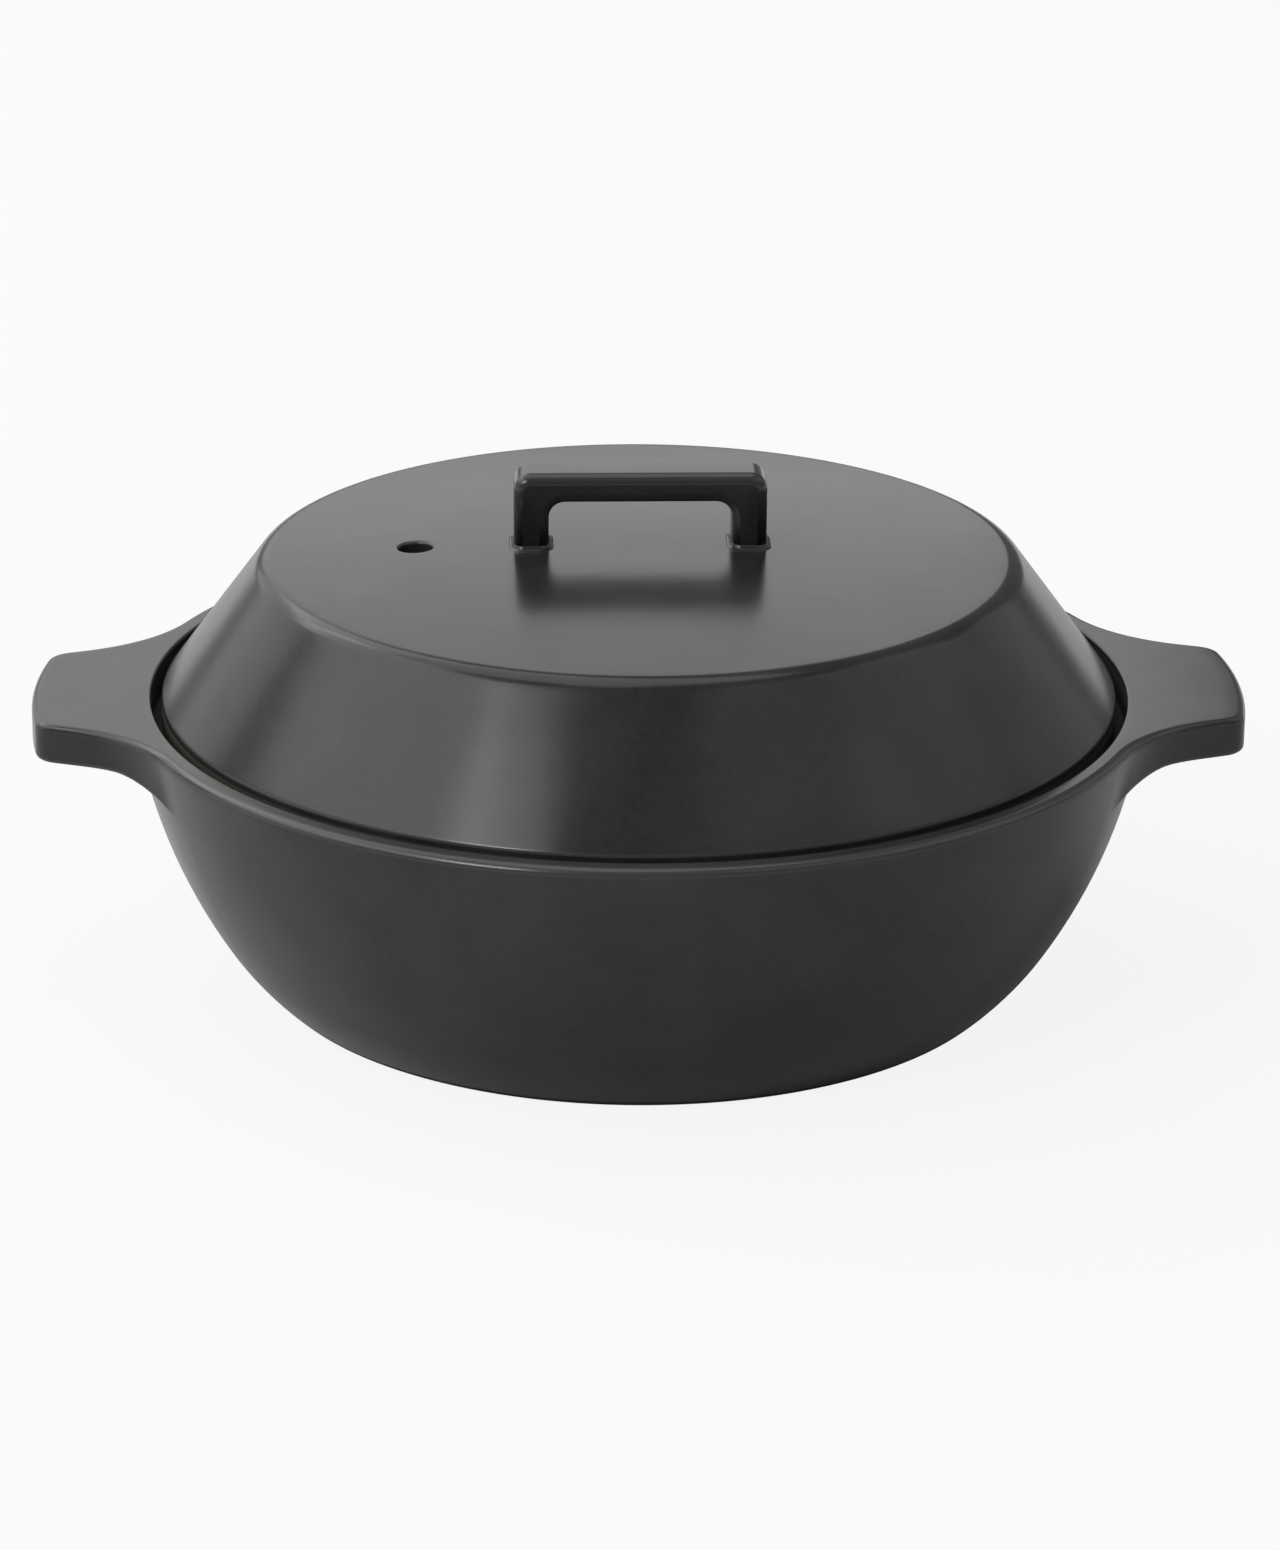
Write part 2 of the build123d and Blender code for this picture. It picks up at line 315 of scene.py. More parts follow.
merge_at_rim = merge_angle(rim_radius)
print("a flank meets the rim", round(degrees(merge_at_rim), 1), "degrees from the lug's middle")

# %% [markdown]
# ## One section of the upper wall
#
# Under the lug a hollow curve joins the wall to the flat underside. At each angle the lug's
# underside is followed out from the wall until it reaches the outline, where a rounding
# turns up into the side. Away from the lugs the same recipe gives the plain wall.
#
# The points are then shared out evenly by length and by turning, so tight bends get more
# points and the rings of vertices run smoothly from the wall onto the lug.

# %% The underside of a lug, and where it ends
underside = rim_height - lug_thickness
root_turn = pi / 2 - wall_slope - lug_root_crossing
root_bottom = underside - lug_root_radius * (1 - cos(root_turn))
root_middle_x = wall_radius(root_bottom) + lug_root_radius * sin(root_turn)
root_middle = Vector((root_middle_x, underside - lug_root_radius))
root_length = lug_root_radius * root_turn
wall_end = Vector((wall_radius(rim_height - straight_wall), rim_height - straight_wall))
halvings = 30


def under_lug(run):
    """A point at a distance out from the wall along the lug's underside."""
    if run >= root_length:
        return Vector((root_middle.x + run - root_length, underside))
    turn = root_turn - run / lug_root_radius
    return root_middle + lug_root_radius * Vector((-sin(turn), cos(turn)))


def underside_run(angle):
    """How far the underside goes before it meets the outline at this angle."""
    low, high = 0.0, lug_reach
    for _ in range(halvings):
        middle = (low + high) / 2
        point = under_lug(middle)
        if point.x < outline_radius(angle, point.y):
            low = middle
        else:
            high = middle
    return low


# %% Share points along a path by its length and its turning
share_length = 3.0 * MM
share_turn = radians(12.0)


def share_out(path, count):
    """Points along a dense path, in equal shares of length and turning, its ends included."""
    dense = [path[0]] + [b for a, b in zip(path, path[1:]) if (b - a).length > weld_distance / 10]
    total = [0.0]
    for number in range(1, len(dense)):
        step = dense[number] - dense[number - 1]
        bend = 0.0
        if number + 1 < len(dense):
            bend = abs(step.angle_signed(dense[number + 1] - dense[number]))
        total.append(total[-1] + step.length / share_length + bend / share_turn)
    points = []
    for number in range(count + 1):
        goal = total[-1] * number / count
        after = min(max(bisect_left(total, goal), 1), len(dense) - 1)
        span = total[after] - total[after - 1]
        points.append(dense[after - 1].lerp(dense[after], (goal - total[after - 1]) / span))
    return points


# %% The whole upper section at one angle
lower_rings, side_rings, rounding_rings = 18, 8, 6
underside_steps, short_steps = 40, 10
side_steps, corner_steps = 12, 12
land_shares = (0.12, 0.4, 0.75, 1.0)
land_end = Vector((rim_radius - rim_land + rim_inner_rounding, rim_height))


def round_off(before, corner, after, radius, steps):
    """Like rounded, but as vectors, and never longer than the runs beside it."""
    turn = (corner - before).angle(after - corner, 0.0)
    limit = 0.9 * min((corner - before).length, (after - corner).length)
    fitted = min(radius, limit / max(tan(turn / 2), 1e-6))
    if turn < 1e-4:
        return [corner]
    return [Vector(point) for point in rounded(before, corner, after, fitted, steps)]


def upper_section(angle):
    """Points from the wall below a lug to the inner edge of the rim's land."""
    run = underside_run(angle)
    corner = under_lug(run)
    back = max(0.0, run - lug_edge_rounding)
    straight, steps = (back, underside_steps) if back else (run, short_steps)
    path = [wall_end] + [under_lug(straight * step / steps) for step in range(steps + 1)]
    heights = [corner.y + (rim_height - corner.y) * step / side_steps for step in range(side_steps + 1)]
    side = [Vector((outline_radius(angle, height), height)) for height in heights]
    before = path[-1] if (path[-1] - corner).length > weld_distance else path[-2]
    turned_up = round_off(before, corner, side[2], lug_edge_rounding, corner_steps)
    middle = len(turned_up) // 2
    kept = [point for point in path if (point - corner).length > (turned_up[0] - corner).length]
    lower = share_out(kept + turned_up[:middle + 1], lower_rings)
    inwards = side[-1] - Vector((20 * MM, 0))
    top = round_off(side[0], side[-1], inwards, rim_rounding, rounding_rings)
    rising = [point for point in side if turned_up[-1].y < point.y < top[0].y]
    sides = share_out(turned_up[middle:] + rising + [top[0]], side_rings)
    land = [top[-1].lerp(land_end, share) for share in land_shares]
    return [tuple(point) for point in lower + sides[1:] + top[1:] + land]


plain = upper_section(pi / 2)
print("points in an upper section:", len(plain), "over a lug:", len(upper_section(0.0)))

# %% [markdown]
# ## The rest of the pot's section
#
# Below the lugs the wall turns in along a large arc, then a tighter one, to a foot ring. The
# inside follows the outside at an even thickness and is narrowed near the top into a ledge
# that carries the lid. The tangent points are worked out from the arcs' centres.

# %% The outside below the lugs
wall_way = Vector((cos(wall_slope), -sin(wall_slope)))
belly_middle = wall_end - wall_way * belly_radius
heel_turn = -acos(sqrt(1 - (sin(wall_slope) + (wall_end.y - heel_top) / belly_radius)**2))
heel_start = belly_middle + belly_radius * Vector((cos(heel_turn), sin(heel_turn)))
heel_middle = heel_start - heel_radius * Vector((cos(heel_turn), sin(heel_turn)))
foot_turn = -acos(sqrt(1 - (heel_middle.y / heel_radius)**2))
foot_radius = heel_middle.x + heel_radius * cos(foot_turn)
above_foot = heel_middle + heel_radius * Vector((cos(foot_turn + 0.1), sin(foot_turn + 0.1)))

ring_inner = foot_radius - foot_ring_width
base_middle = (0.0, foot_recess)
recess_corner = (ring_inner, foot_recess)
ring_corner = (ring_inner, 0.0)
foot_corner = (foot_radius, 0.0)
under = (
    [base_middle] + between(base_middle, recess_corner, (0.1, 0.4, 0.7, 0.94))
    + rounded(base_middle, recess_corner, ring_corner, small_rounding, 3)
    + rounded(recess_corner, ring_corner, foot_corner, small_rounding, 3)
    + between(ring_corner, foot_corner, (0.25, 0.6, 0.84))
    + rounded(ring_corner, foot_corner, tuple(above_foot), foot_rounding, 4)
)
outside = (
    arc(heel_middle, heel_radius, foot_turn + 0.03, heel_turn, 8)[:-1]
    + arc(belly_middle, belly_radius, heel_turn, -wall_slope, 12)[:-1]
)
print("foot ring in mm:", round(ring_inner / MM, 1), "to", round(foot_radius / MM, 1))

# %% The inside, from the rim down to the floor
recess_radius = rim_radius - rim_land
cavity_radius = recess_radius - ledge_width
blend_middle_x = cavity_radius - ledge_blend
belly_in = belly_radius - wall_thickness
blend_drop = sqrt((belly_in - ledge_blend)**2 - (blend_middle_x - belly_middle.x)**2)
blend_middle = Vector((blend_middle_x, belly_middle.y - blend_drop))
blend_turn = -atan2(blend_drop, blend_middle_x - belly_middle.x)
heel_in = heel_radius - wall_thickness
floor_middle_y = floor_height + floor_corner
floor_drop = heel_middle.y - floor_middle_y
floor_run = sqrt((heel_in - floor_corner)**2 - floor_drop**2)
floor_middle = Vector((heel_middle.x + floor_run, floor_middle_y))
floor_turn = -atan2(floor_drop, floor_middle.x - heel_middle.x)
recess_top = (recess_radius, rim_height)
recess_foot = (recess_radius, ledge_height)
ledge_edge = (cavity_radius, ledge_height)
below_ledge = (cavity_radius, ledge_height - ledge_rounding)
inside = (
    rounded((rim_radius, rim_height), recess_top, recess_foot, rim_inner_rounding, 4)
    + between(recess_top, recess_foot, (0.3, 0.6, 0.88))
    + rounded(recess_top, recess_foot, ledge_edge, small_rounding, 3)
    + between(recess_foot, ledge_edge, (0.2, 0.5, 0.78))
    + rounded(recess_foot, ledge_edge, (cavity_radius, 0), ledge_rounding, 4)
    + between(below_ledge, (cavity_radius, blend_middle.y), (0.15, 0.5, 0.85))
    + arc(blend_middle, ledge_blend, 0, blend_turn, 4)
    + arc(belly_middle, belly_in, blend_turn, heel_turn, 8)[1:]
    + arc(floor_middle, floor_corner, floor_turn, -pi / 2, 10)[1:]
    + between((floor_middle.x, floor_height), (0, floor_height), (0.08, 0.3, 0.6, 0.9, 1.0))
)
first_upper = len(under) + len(outside)
section = under + outside + plain + inside[1:]
print("points in the pot's section:", len(section))

# %% [markdown]
# ## Where the columns stand
#
# A lug has more shape in it than the plain wall, so it needs more columns. They are set at
# equal steps along the lug's outline, and at equal angles everywhere else. The spin makes
# them at equal angles, and each column is then turned to its own place.

# %% Angles of the columns
lug_step = 1.1 * MM
plain_step = radians(2.4)
lug_edge_angle = merge_angle(wall_radius(root_bottom)) + radians(1.0)
fine_steps = 1500
fine = [lug_edge_angle * step / fine_steps for step in range(fine_steps + 1)]
marks = [Vector((cos(angle), sin(angle))) * outline_radius(angle, rim_height) for angle in fine]
walked = [0.0]
for a, b in zip(marks, marks[1:]):
    walked.append(walked[-1] + (b - a).length)
half_count = round(walked[-1] / lug_step)
goals = [walked[-1] * step / half_count for step in range(half_count + 1)]
half_lug = [fine[min(bisect_left(walked, goal), fine_steps)] for goal in goals]
plain_turn = pi - 2 * lug_edge_angle
plain_count = round(plain_turn / plain_step)
plain_run = [lug_edge_angle + plain_turn * step / plain_count for step in range(1, plain_count)]
upper_half = half_lug + plain_run + [pi - angle for angle in reversed(half_lug)]
columns = upper_half + [2 * pi - angle for angle in reversed(upper_half[1:-1])]
print("columns:", len(columns), "of which on each lug:", 2 * half_count + 1)

# %% Wipe the ends of a lug's lower edge into the wall
lug_fade = 4.0 * MM
sections = {}


def faded_place(angle, place):
    """A point of the upper section, nearer to the plain wall where the lug hardly stands out."""
    if angle not in sections:
        sections[angle] = upper_section(angle)
    out = min(underside_run(angle) / lug_fade, 1.0)
    kept = out * out * (3 - 2 * out)
    kept += (1 - kept) * min(max(place - lower_rings, 0) / side_rings, 1.0)
    return Vector(plain[place]).lerp(Vector(sections[angle][place]), kept)


# %% Turn the bowl and pull out the lugs
pot_mesh, ring = turn_section(section, len(columns))
for vertex in pot_mesh.verts:
    column = round(atan2(vertex.co.y, vertex.co.x) / (2 * pi) * len(columns)) % len(columns)
    angle = columns[column]
    from_lug = min(abs(angle), abs(pi - angle), abs(2 * pi - angle))
    radius, height = section[vertex[ring]]
    place = vertex[ring] - first_upper
    if 0 <= place < len(plain) and from_lug <= lug_edge_angle:
        radius, height = faded_place(round(from_lug, 7), place)
    vertex.co = (radius * cos(angle), radius * sin(angle), height)
pot_body = finish_mesh(pot_mesh, "pot_body")
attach(pot_body, "pot")
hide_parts("pot_bowl", "ear_left", "ear_right")

# %% [markdown]
# ## The lid
#
# The lid is turned as well: a shallow dome, a rounded shoulder, a straight cone and an upright
# edge that drops into the recess of the rim. It is hollow, and it stands on a flat ring.
# The vent is a hole with soft edges. It could be cut with a Boolean, which leaves slivers in
# the dome. Instead a patch of faces is taken out above and below, and a ring of edges is
# extruded down through the clay and bridged to both patches.

# %% The lid's section
dome_radius = (lid_shoulder_radius**2 + lid_crown**2) / (2 * lid_crown)


def dome_height(radius, top):
    return top - dome_radius + sqrt(dome_radius**2 - radius**2)


cone_slope = lid_cone_run / lid_cone_rise
seat_inner = lid_radius - lid_seat_width
inner_line = lid_shoulder_radius - lid_thickness * hypot(1, cone_slope)
inner_shoulder = inner_line + lid_thickness * cone_slope
inner_height = lid_shoulder_height - lid_thickness
inner_top = inner_height + dome_radius - sqrt(dome_radius**2 - inner_shoulder**2)
inner_edge_top = lid_shoulder_height - (seat_inner - inner_line) / cone_slope
dome_end = 3.4 * MM
hollow_end = 6.0 * MM
vent_patch = 9.0 * MM
patch_margin = 2.0 * MM
patch_rows = 6


def dome_rings(end, top):
    """Points of a dome's section out from the axis, with even rows where the vent goes through."""
    step = 2 * vent_patch / patch_rows
    rows = [vent_offset - vent_patch + step * row for row in range(patch_rows + 1)]
    inner = [rows[0] * share for share in (0, 0.12, 0.3, 0.5, 0.7, 0.87)]
    outer = [rows[-1] + (end - rows[-1]) * share for share in (0.25, 0.5, 0.75, 0.93)]
    return [(radius, dome_height(radius, top)) for radius in inner + rows + outer]


shoulder = (lid_shoulder_radius, lid_shoulder_height)
on_dome = (lid_shoulder_radius - 1 * MM, dome_height(lid_shoulder_radius - 1 * MM, lid_top))
edge_top = (lid_radius, lid_edge_top)
edge_foot = (lid_radius, ledge_height)
seat_corner = (seat_inner, ledge_height)
seat_top = (seat_inner, inner_edge_top)
hollow_corner = (inner_shoulder, inner_height)
on_hollow = (inner_shoulder - 1 * MM, dome_height(inner_shoulder - 1 * MM, inner_top))
lid_section = (
    dome_rings(lid_shoulder_radius - dome_end, lid_top)
    + rounded(on_dome, shoulder, edge_top, lid_shoulder_rounding, 8)
    + between(shoulder, edge_top, (0.1, 0.25, 0.5, 0.75, 0.96))
    + rounded(shoulder, edge_top, edge_foot, lid_edge_rounding, 6)
    + between(edge_top, edge_foot, (0.1, 0.4, 0.7, 0.84))
    + rounded(edge_top, edge_foot, seat_corner, lid_foot_rounding, 5)
    + between(edge_foot, seat_corner, (0.22, 0.5, 0.8))
    + rounded(edge_foot, seat_corner, seat_top, seat_inner_rounding, 4)
    + between(seat_corner, seat_top, (0.15, 0.6))
    + rounded(seat_corner, seat_top, hollow_corner, hollow_foot_rounding, 4)
    + between(seat_top, hollow_corner, (0.12, 0.35, 0.6, 0.82))
    + rounded(seat_top, hollow_corner, on_hollow, lid_inner_rounding, 8)
    + list(reversed(dome_rings(inner_shoulder - hollow_end, inner_top)))
)
print("points in the lid's section:", len(lid_section))

# %% Turn the lid and open the vent
lid_columns = 192
patch_columns = 5
lid_mesh = turn_section(lid_section, lid_columns)[0]
bmesh.ops.remove_doubles(lid_mesh, verts=lid_mesh.verts, dist=weld_distance)


def open_patch(bm, above):
    """Take the vent's patch of faces out of one side of the lid, and return the edges round it."""
    lowest = inner_height - patch_margin
    halfway = inner_height + lid_thickness / 2 + patch_margin
    patch = []
    for face in bm.faces:
        middle = face.calc_center_median()
        turn = abs(abs(atan2(middle.y, middle.x)) - pi)
        near = abs(hypot(middle.x, middle.y) - vent_offset) < vent_patch
        beside = turn < 2 * pi * patch_columns / lid_columns
        if near and beside and middle.z > lowest and (middle.z > halfway) == above:
            patch.append(face)
    border = [edge for edge in {e for face in patch for e in face.edges}
              if sum(face in patch for face in edge.link_faces) == 1]
    bmesh.ops.delete(bm, geom=patch, context="FACES")
    return border


upper_border = open_patch(lid_mesh, True)
lower_border = open_patch(lid_mesh, False)
print("edges round the vent's patches:", len(upper_border), len(lower_border))

# %% Extrude the vent down through the lid
quarter = [radians(90) * step / 5 for step in range(6)]


def vent_ring_steps():
    """Radius and depth of each ring, from the face of the clay into the vent."""
    steps = [(vent_radius + 2.2 * vent_rounding, 0.0)]
    for turn in quarter:
        steps.append((vent_radius + vent_rounding * (1 - sin(turn)), vent_rounding * (1 - cos(turn))))
    return steps


throat = bmesh.ops.create_circle(
    lid_mesh, cap_ends=False, segments=len(upper_border), radius=vent_radius,
    matrix=Matrix.Translation((-vent_offset, 0, lid_top)),
)
loop = list({edge for vertex in throat["verts"] for edge in vertex.link_edges})
rings = [(radius, depth, lid_top, -1) for radius, depth in vent_ring_steps()]
rings += [(radius, depth, inner_top, 1) for radius, depth in reversed(vent_ring_steps())]
first_loop = loop
for number, (radius, depth, top, way) in enumerate(rings):
    if number:
        loop = new_edges(bmesh.ops.extrude_edge_only(lid_mesh, edges=loop))
    for vertex in {v for edge in loop for v in edge.verts}:
        from_middle = Vector((vertex.co.x + vent_offset, vertex.co.y)).normalized() * radius
        x, y = from_middle.x - vent_offset, from_middle.y
        vertex.co = (x, y, dome_height(hypot(x, y), top) + way * depth)
bmesh.ops.bridge_loops(lid_mesh, edges=first_loop + upper_border)
bmesh.ops.bridge_loops(lid_mesh, edges=loop + lower_border)
lid_body = finish_mesh(lid_mesh, "lid_body")
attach(lid_body, "lid")
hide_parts("lid")

# %% [markdown]
# ## The bridge handle
#
# The handle is cut from a slab of clay: two legs and a bar, with square corners softened by a
# sponge. It is an outline extruded across, then bevelled twice. The first bevel rounds the
# corners of the outline, the second all the long edges of the two faces.

# %% Model the handle
handle_bottom = handle_low.z
handle_top = handle_high.z
handle_half = handle_high.x
handle_depth = handle_high.y - handle_low.y
inner_half = handle_half - handle_leg
bar_bottom = handle_top - handle_bar

handle_mesh = bmesh.new()
outline = [
    (-handle_half, handle_bottom), (-handle_half, handle_top),
    (handle_half, handle_top), (handle_half, handle_bottom),
    (inner_half, handle_bottom), (inner_half, bar_bottom),
    (-inner_half, bar_bottom), (-inner_half, handle_bottom),
]
front = handle_mesh.faces.new([handle_mesh.verts.new((x, handle_low.y, z)) for x, z in outline])
grown = bmesh.ops.extrude_face_region(handle_mesh, geom=[front])["geom"]
back_verts = [item for item in grown if isinstance(item, bmesh.types.BMVert)]
bmesh.ops.translate(handle_mesh, verts=back_verts, vec=(0, handle_depth, 0))
near_enough = 0.01 * MM


def bevel(bm, edges, width, segments):
    return bmesh.ops.bevel(
        bm, geom=edges, offset=width, offset_type="OFFSET", affect="EDGES", segments=segments,
        profile=0.5, material=-1, clamp_overlap=True,
    )


def runs_across(edge):
    return abs(edge.verts[0].co.y - edge.verts[1].co.y) > handle_depth / 2


def level(edge, height):
    return all(abs(vertex.co.z - height) < near_enough for vertex in edge.verts)


for height, corner in ((handle_top, handle_outer_corner), (bar_bottom, handle_inner_corner)):
    across = [edge for edge in handle_mesh.edges if runs_across(edge) and level(edge, height)]
    bevel(handle_mesh, across, corner, 7)
long_edges = [
    edge for edge in handle_mesh.edges
    if abs(edge.verts[0].co.y - edge.verts[1].co.y) < near_enough and not level(edge, handle_bottom)
]
bevel(handle_mesh, long_edges, handle_edge, 6)
lid_handle_body = finish_mesh(handle_mesh, "lid_handle_body")
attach(lid_handle_body, "lid")
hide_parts("lid_handle")

# %% [markdown]
# ## The luted joint at the handle's feet
#
# Each foot was scored, wetted with slip and pressed onto the lid, and the slip that squeezed
# out was smoothed into a small fillet. A ring of edges round the foot is extruded outwards and
# down onto the dome, then under the surface back to its start, where removing doubles closes it.

# %% Model the slip fillets
fillet_size = 1.2 * MM


def foot_outline(grow):
    """Corners of a leg's rounded rectangle, grown by a margin, relative to its middle."""
    half_x, half_y = handle_leg / 2, handle_depth / 2
    points = []
    for sign_x, sign_y, start in ((1, 1, 0), (-1, 1, 90), (-1, -1, 180), (1, -1, 270)):
        middle = (sign_x * (half_x - handle_edge), sign_y * (half_y - handle_edge))
        points += arc(middle, handle_edge + grow, radians(start), radians(start + 90), 6)
    return points


fillet_root = -0.3 * MM
fillet_depth = -0.5 * MM
fillet_curve = [(fillet_size * (1 - cos(turn)), fillet_size * (1 - sin(turn))) for turn in quarter]
top_ring = (fillet_root, fillet_size)
fillet_steps = fillet_curve + [(fillet_size, fillet_depth), (fillet_root, fillet_depth), top_ring]

fillets = bmesh.new()
number = fillets.verts.layers.int.new("number")


def place_ring(verts, middle_x, grow, lift):
    """Move a ring of vertices to a foot's grown outline, at a height above the dome."""
    outline = foot_outline(grow)
    for vertex in verts:
        x, y = outline[vertex[number]]
        x += middle_x
        vertex.co = (x, y, dome_height(hypot(x, y), lid_top) + lift)


for side in (-1, 1):
    middle_x = side * (handle_half - handle_leg / 2)
    verts = [fillets.verts.new() for _ in foot_outline(0)]
    for index, vertex in enumerate(verts):
        vertex[number] = index
    place_ring(verts, middle_x, *top_ring)
    loop = [fillets.edges.new(pair) for pair in zip(verts, verts[1:] + verts[:1])]
    for grow, lift in fillet_steps:
        loop = new_edges(bmesh.ops.extrude_edge_only(fillets, edges=loop))
        place_ring({vertex for edge in loop for vertex in edge.verts}, middle_x, grow, lift)
handle_slip = finish_mesh(fillets, "handle_slip_fillets")
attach(handle_slip, "lid")

# %% [markdown]
# ## Materials
#
# The pot is stoneware under a satin-matt charcoal glaze. Such a glaze is full of tiny crystals
# that scatter light, so it has a broad soft sheen in place of a mirror. Over an edge the glaze runs
# thinner, and its colour there is painted paler: partly for the thinner glaze, partly as a painted
# highlight. The foot, the underside and the seat of the lid are left bare, because
# glaze melts in the kiln and would stick there, and the bare clay is brown and quite matt.
# Colours are written as sRGB hex and turned to linear by one function.

# %% Colour and node helpers
def linear(hex_code):
    """An sRGB hex colour as linear RGBA."""
    parts = [int(hex_code[start:start + 2], 16) / 255 for start in (1, 3, 5)]
    return [p / 12.92 if p <= 0.04045 else ((p + 0.055) / 1.055)**2.4 for p in parts] + [1.0]


def add(tree, kind, settings=(), links=()):
    """Add a node, set its properties and input values, and link its inputs."""
    node = tree.nodes.new(kind)
    for key, value in dict(settings).items():
        if isinstance(key, str) and hasattr(node, key):
            setattr(node, key, value)
        else:
            node.inputs[key].default_value = value
    for key, socket in dict(links).items():
        tree.links.new(socket, node.inputs[key])
    return node


def new_material(name):
    material = bpy.data.materials.new(name)
    material.use_nodes = True
    material.node_tree.nodes.clear()
    return material, material.node_tree


# %% Satin glaze over stoneware
glaze_dark = "#252627"
glaze_light = "#2f3031"
# paler colour for edges: partly thinner glaze, partly a painted highlight on the roundings
edge_glaze_and_painted_highlight = "#424242"
bare_clay = "#3a332a"
glaze_roughness = 0.2
clay_roughness = 0.85
glaze_ior = 1.45
cloud_size = 24 * MM
speck_size = 1.6 * MM
ripple_size = 0.9 * MM
swell_size = 14 * MM


def noise(tree, place, size, detail, roughness):
    """A soft random pattern with features of about a size."""
    settings = {"Scale": 1 / size, "Detail": detail, "Roughness": roughness}
    return add(tree, "ShaderNodeTexNoise", settings, {"Vector": place}).outputs["Fac"]


def mix(tree, share, colour, other):
    """A colour that turns into another one, given in hex, by a share."""
    settings = {"data_type": "RGBA", 7: linear(other)}
    return add(tree, "ShaderNodeMix", settings, {0: share, 6: colour}).outputs[2]


def glaze_colour(tree, place):
    """Faint clouds and specks of two greys, painted paler over an edge: partly thinner glaze, partly a
    painted highlight.
    """
    cloud = noise(tree, place, cloud_size, 3.0, 0.55)
    speck = noise(tree, place, speck_size, 2.0, 0.5)
    mixed = add(tree, "ShaderNodeMath", {"operation": "MULTIPLY_ADD", 1: 0.35}, {0: speck, 2: cloud})
    tone = add(tree, "ShaderNodeValToRGB", (), {"Fac": mixed.outputs[0]})
    for element, position, colour in zip(tone.color_ramp.elements, (0.5, 0.85), (glaze_dark, glaze_light)):
        element.position = position
        element.color = linear(colour)
    bend = add(tree, "ShaderNodeAttribute", {"attribute_name": "edge_bend"}).outputs["Fac"]
    # sharp roundings are painted paler: partly thinner glaze, partly a painted highlight
    edge_paling_range = {"From Min": 0.35, "From Max": 0.95, "To Max": 0.8}
    edge_paling = add(tree, "ShaderNodeMapRange", edge_paling_range, {"Value": bend}).outputs["Result"]
    return mix(tree, edge_paling, tone.outputs["Color"], edge_glaze_and_painted_highlight)


def glaze_relief(tree, place):
    """The slight unevenness of a brushed-on glaze: a long swell over a fine ripple."""
    ripple = {"Height": noise(tree, place, ripple_size, 2.0, 0.5)}
    fine = add(tree, "ShaderNodeBump", {"Strength": 0.12, "Distance": 0.05 * MM}, ripple)
    swell = {"Height": noise(tree, place, swell_size, 1.0, 0.4), "Normal": fine.outputs["Normal"]}
    return add(tree, "ShaderNodeBump", {"Strength": 0.25, "Distance": 0.25 * MM}, swell).outputs["Normal"]


def glazed_stoneware(name, bare_mask):
    """The glaze, with bare clay where bare_mask gives 1."""
    material, tree = new_material(name)
    place = add(tree, "ShaderNodeTexCoord").outputs["Object"]
    bare = bare_mask(tree, place)
    limits = {"To Min": glaze_roughness, "To Max": clay_roughness}
    gloss = add(tree, "ShaderNodeMapRange", limits, {"Value": bare})
    shader = add(tree, "ShaderNodeBsdfPrincipled", {"IOR": glaze_ior}, {
        "Base Color": mix(tree, bare, glaze_colour(tree, place), bare_clay),
        "Roughness": gloss.outputs["Result"], "Normal": glaze_relief(tree, place),
    })
    add(tree, "ShaderNodeOutputMaterial", (), {"Surface": shader.outputs["BSDF"]})
    return material


# %% Where the clay is bare
glaze_edge = 0.4 * MM
bare_margin = 1.0 * MM
glaze_line_low = 0.9 * MM
glaze_line_high = 2.1 * MM
glaze_line_wave = 18 * MM


def radius_and_height(tree, place):
    """Distance from the pot's axis, and height, of each point of a surface."""
    level_part = {"operation": "MULTIPLY", 1: (1, 1, 0)}
    across = add(tree, "ShaderNodeVectorMath", level_part, {0: place}).outputs[0]
    radius = add(tree, "ShaderNodeVectorMath", {"operation": "LENGTH"}, {0: across}).outputs["Value"]
    return radius, add(tree, "ShaderNodeSeparateXYZ", (), {"Vector": place}).outputs["Z"]


def where_all(tree, *steps):
    """1 where every value is past its step. A step is a value, where it starts and where it ends."""
    joined = None
    for value, start, end in steps:
        limits = {"From Min": start, "From Max": end}
        part = add(tree, "ShaderNodeMapRange", limits, {"Value": value}).outputs["Result"]
        if joined is not None:
            part = add(tree, "ShaderNodeMath", {"operation": "MINIMUM"}, {0: joined, 1: part}).outputs[0]
        joined = part
    return joined


def foot_mask(tree, place):
    """1 on the foot, below a slightly wavy glaze line, and on the whole underside."""
    radius, height = radius_and_height(tree, place)
    wave = noise(tree, place, glaze_line_wave, 2.0, 0.5)
    limits = {"To Min": glaze_line_low, "To Max": glaze_line_high}
    line = add(tree, "ShaderNodeMapRange", limits, {"Value": wave}).outputs["Result"]
    below = add(tree, "ShaderNodeMath", {"operation": "SUBTRACT"}, {0: line, 1: height}).outputs[0]
    edge = where_all(tree, (below, -glaze_edge / 4, glaze_edge / 4))
    inner = foot_radius - 2 * foot_rounding
    top = 2 * foot_recess
    under = where_all(tree, (radius, inner, inner - glaze_edge), (height, top + glaze_edge, top))
    return add(tree, "ShaderNodeMath", {"operation": "MAXIMUM"}, {0: edge, 1: under}).outputs[0]


def recess_mask(tree, place):
    """1 on the wall and the ledge of the recess that the lid stands in."""
    radius, height = radius_and_height(tree, place)
    top = rim_height - rim_inner_rounding
    bottom = ledge_height - 2 * glaze_edge
    outer = recess_radius + glaze_edge
    inner = cavity_radius + bare_margin
    return where_all(
        tree, (height, top, top - glaze_edge), (height, bottom - glaze_edge, bottom),
        (radius, outer + glaze_edge / 2, outer), (radius, inner, inner + glaze_edge),
    )


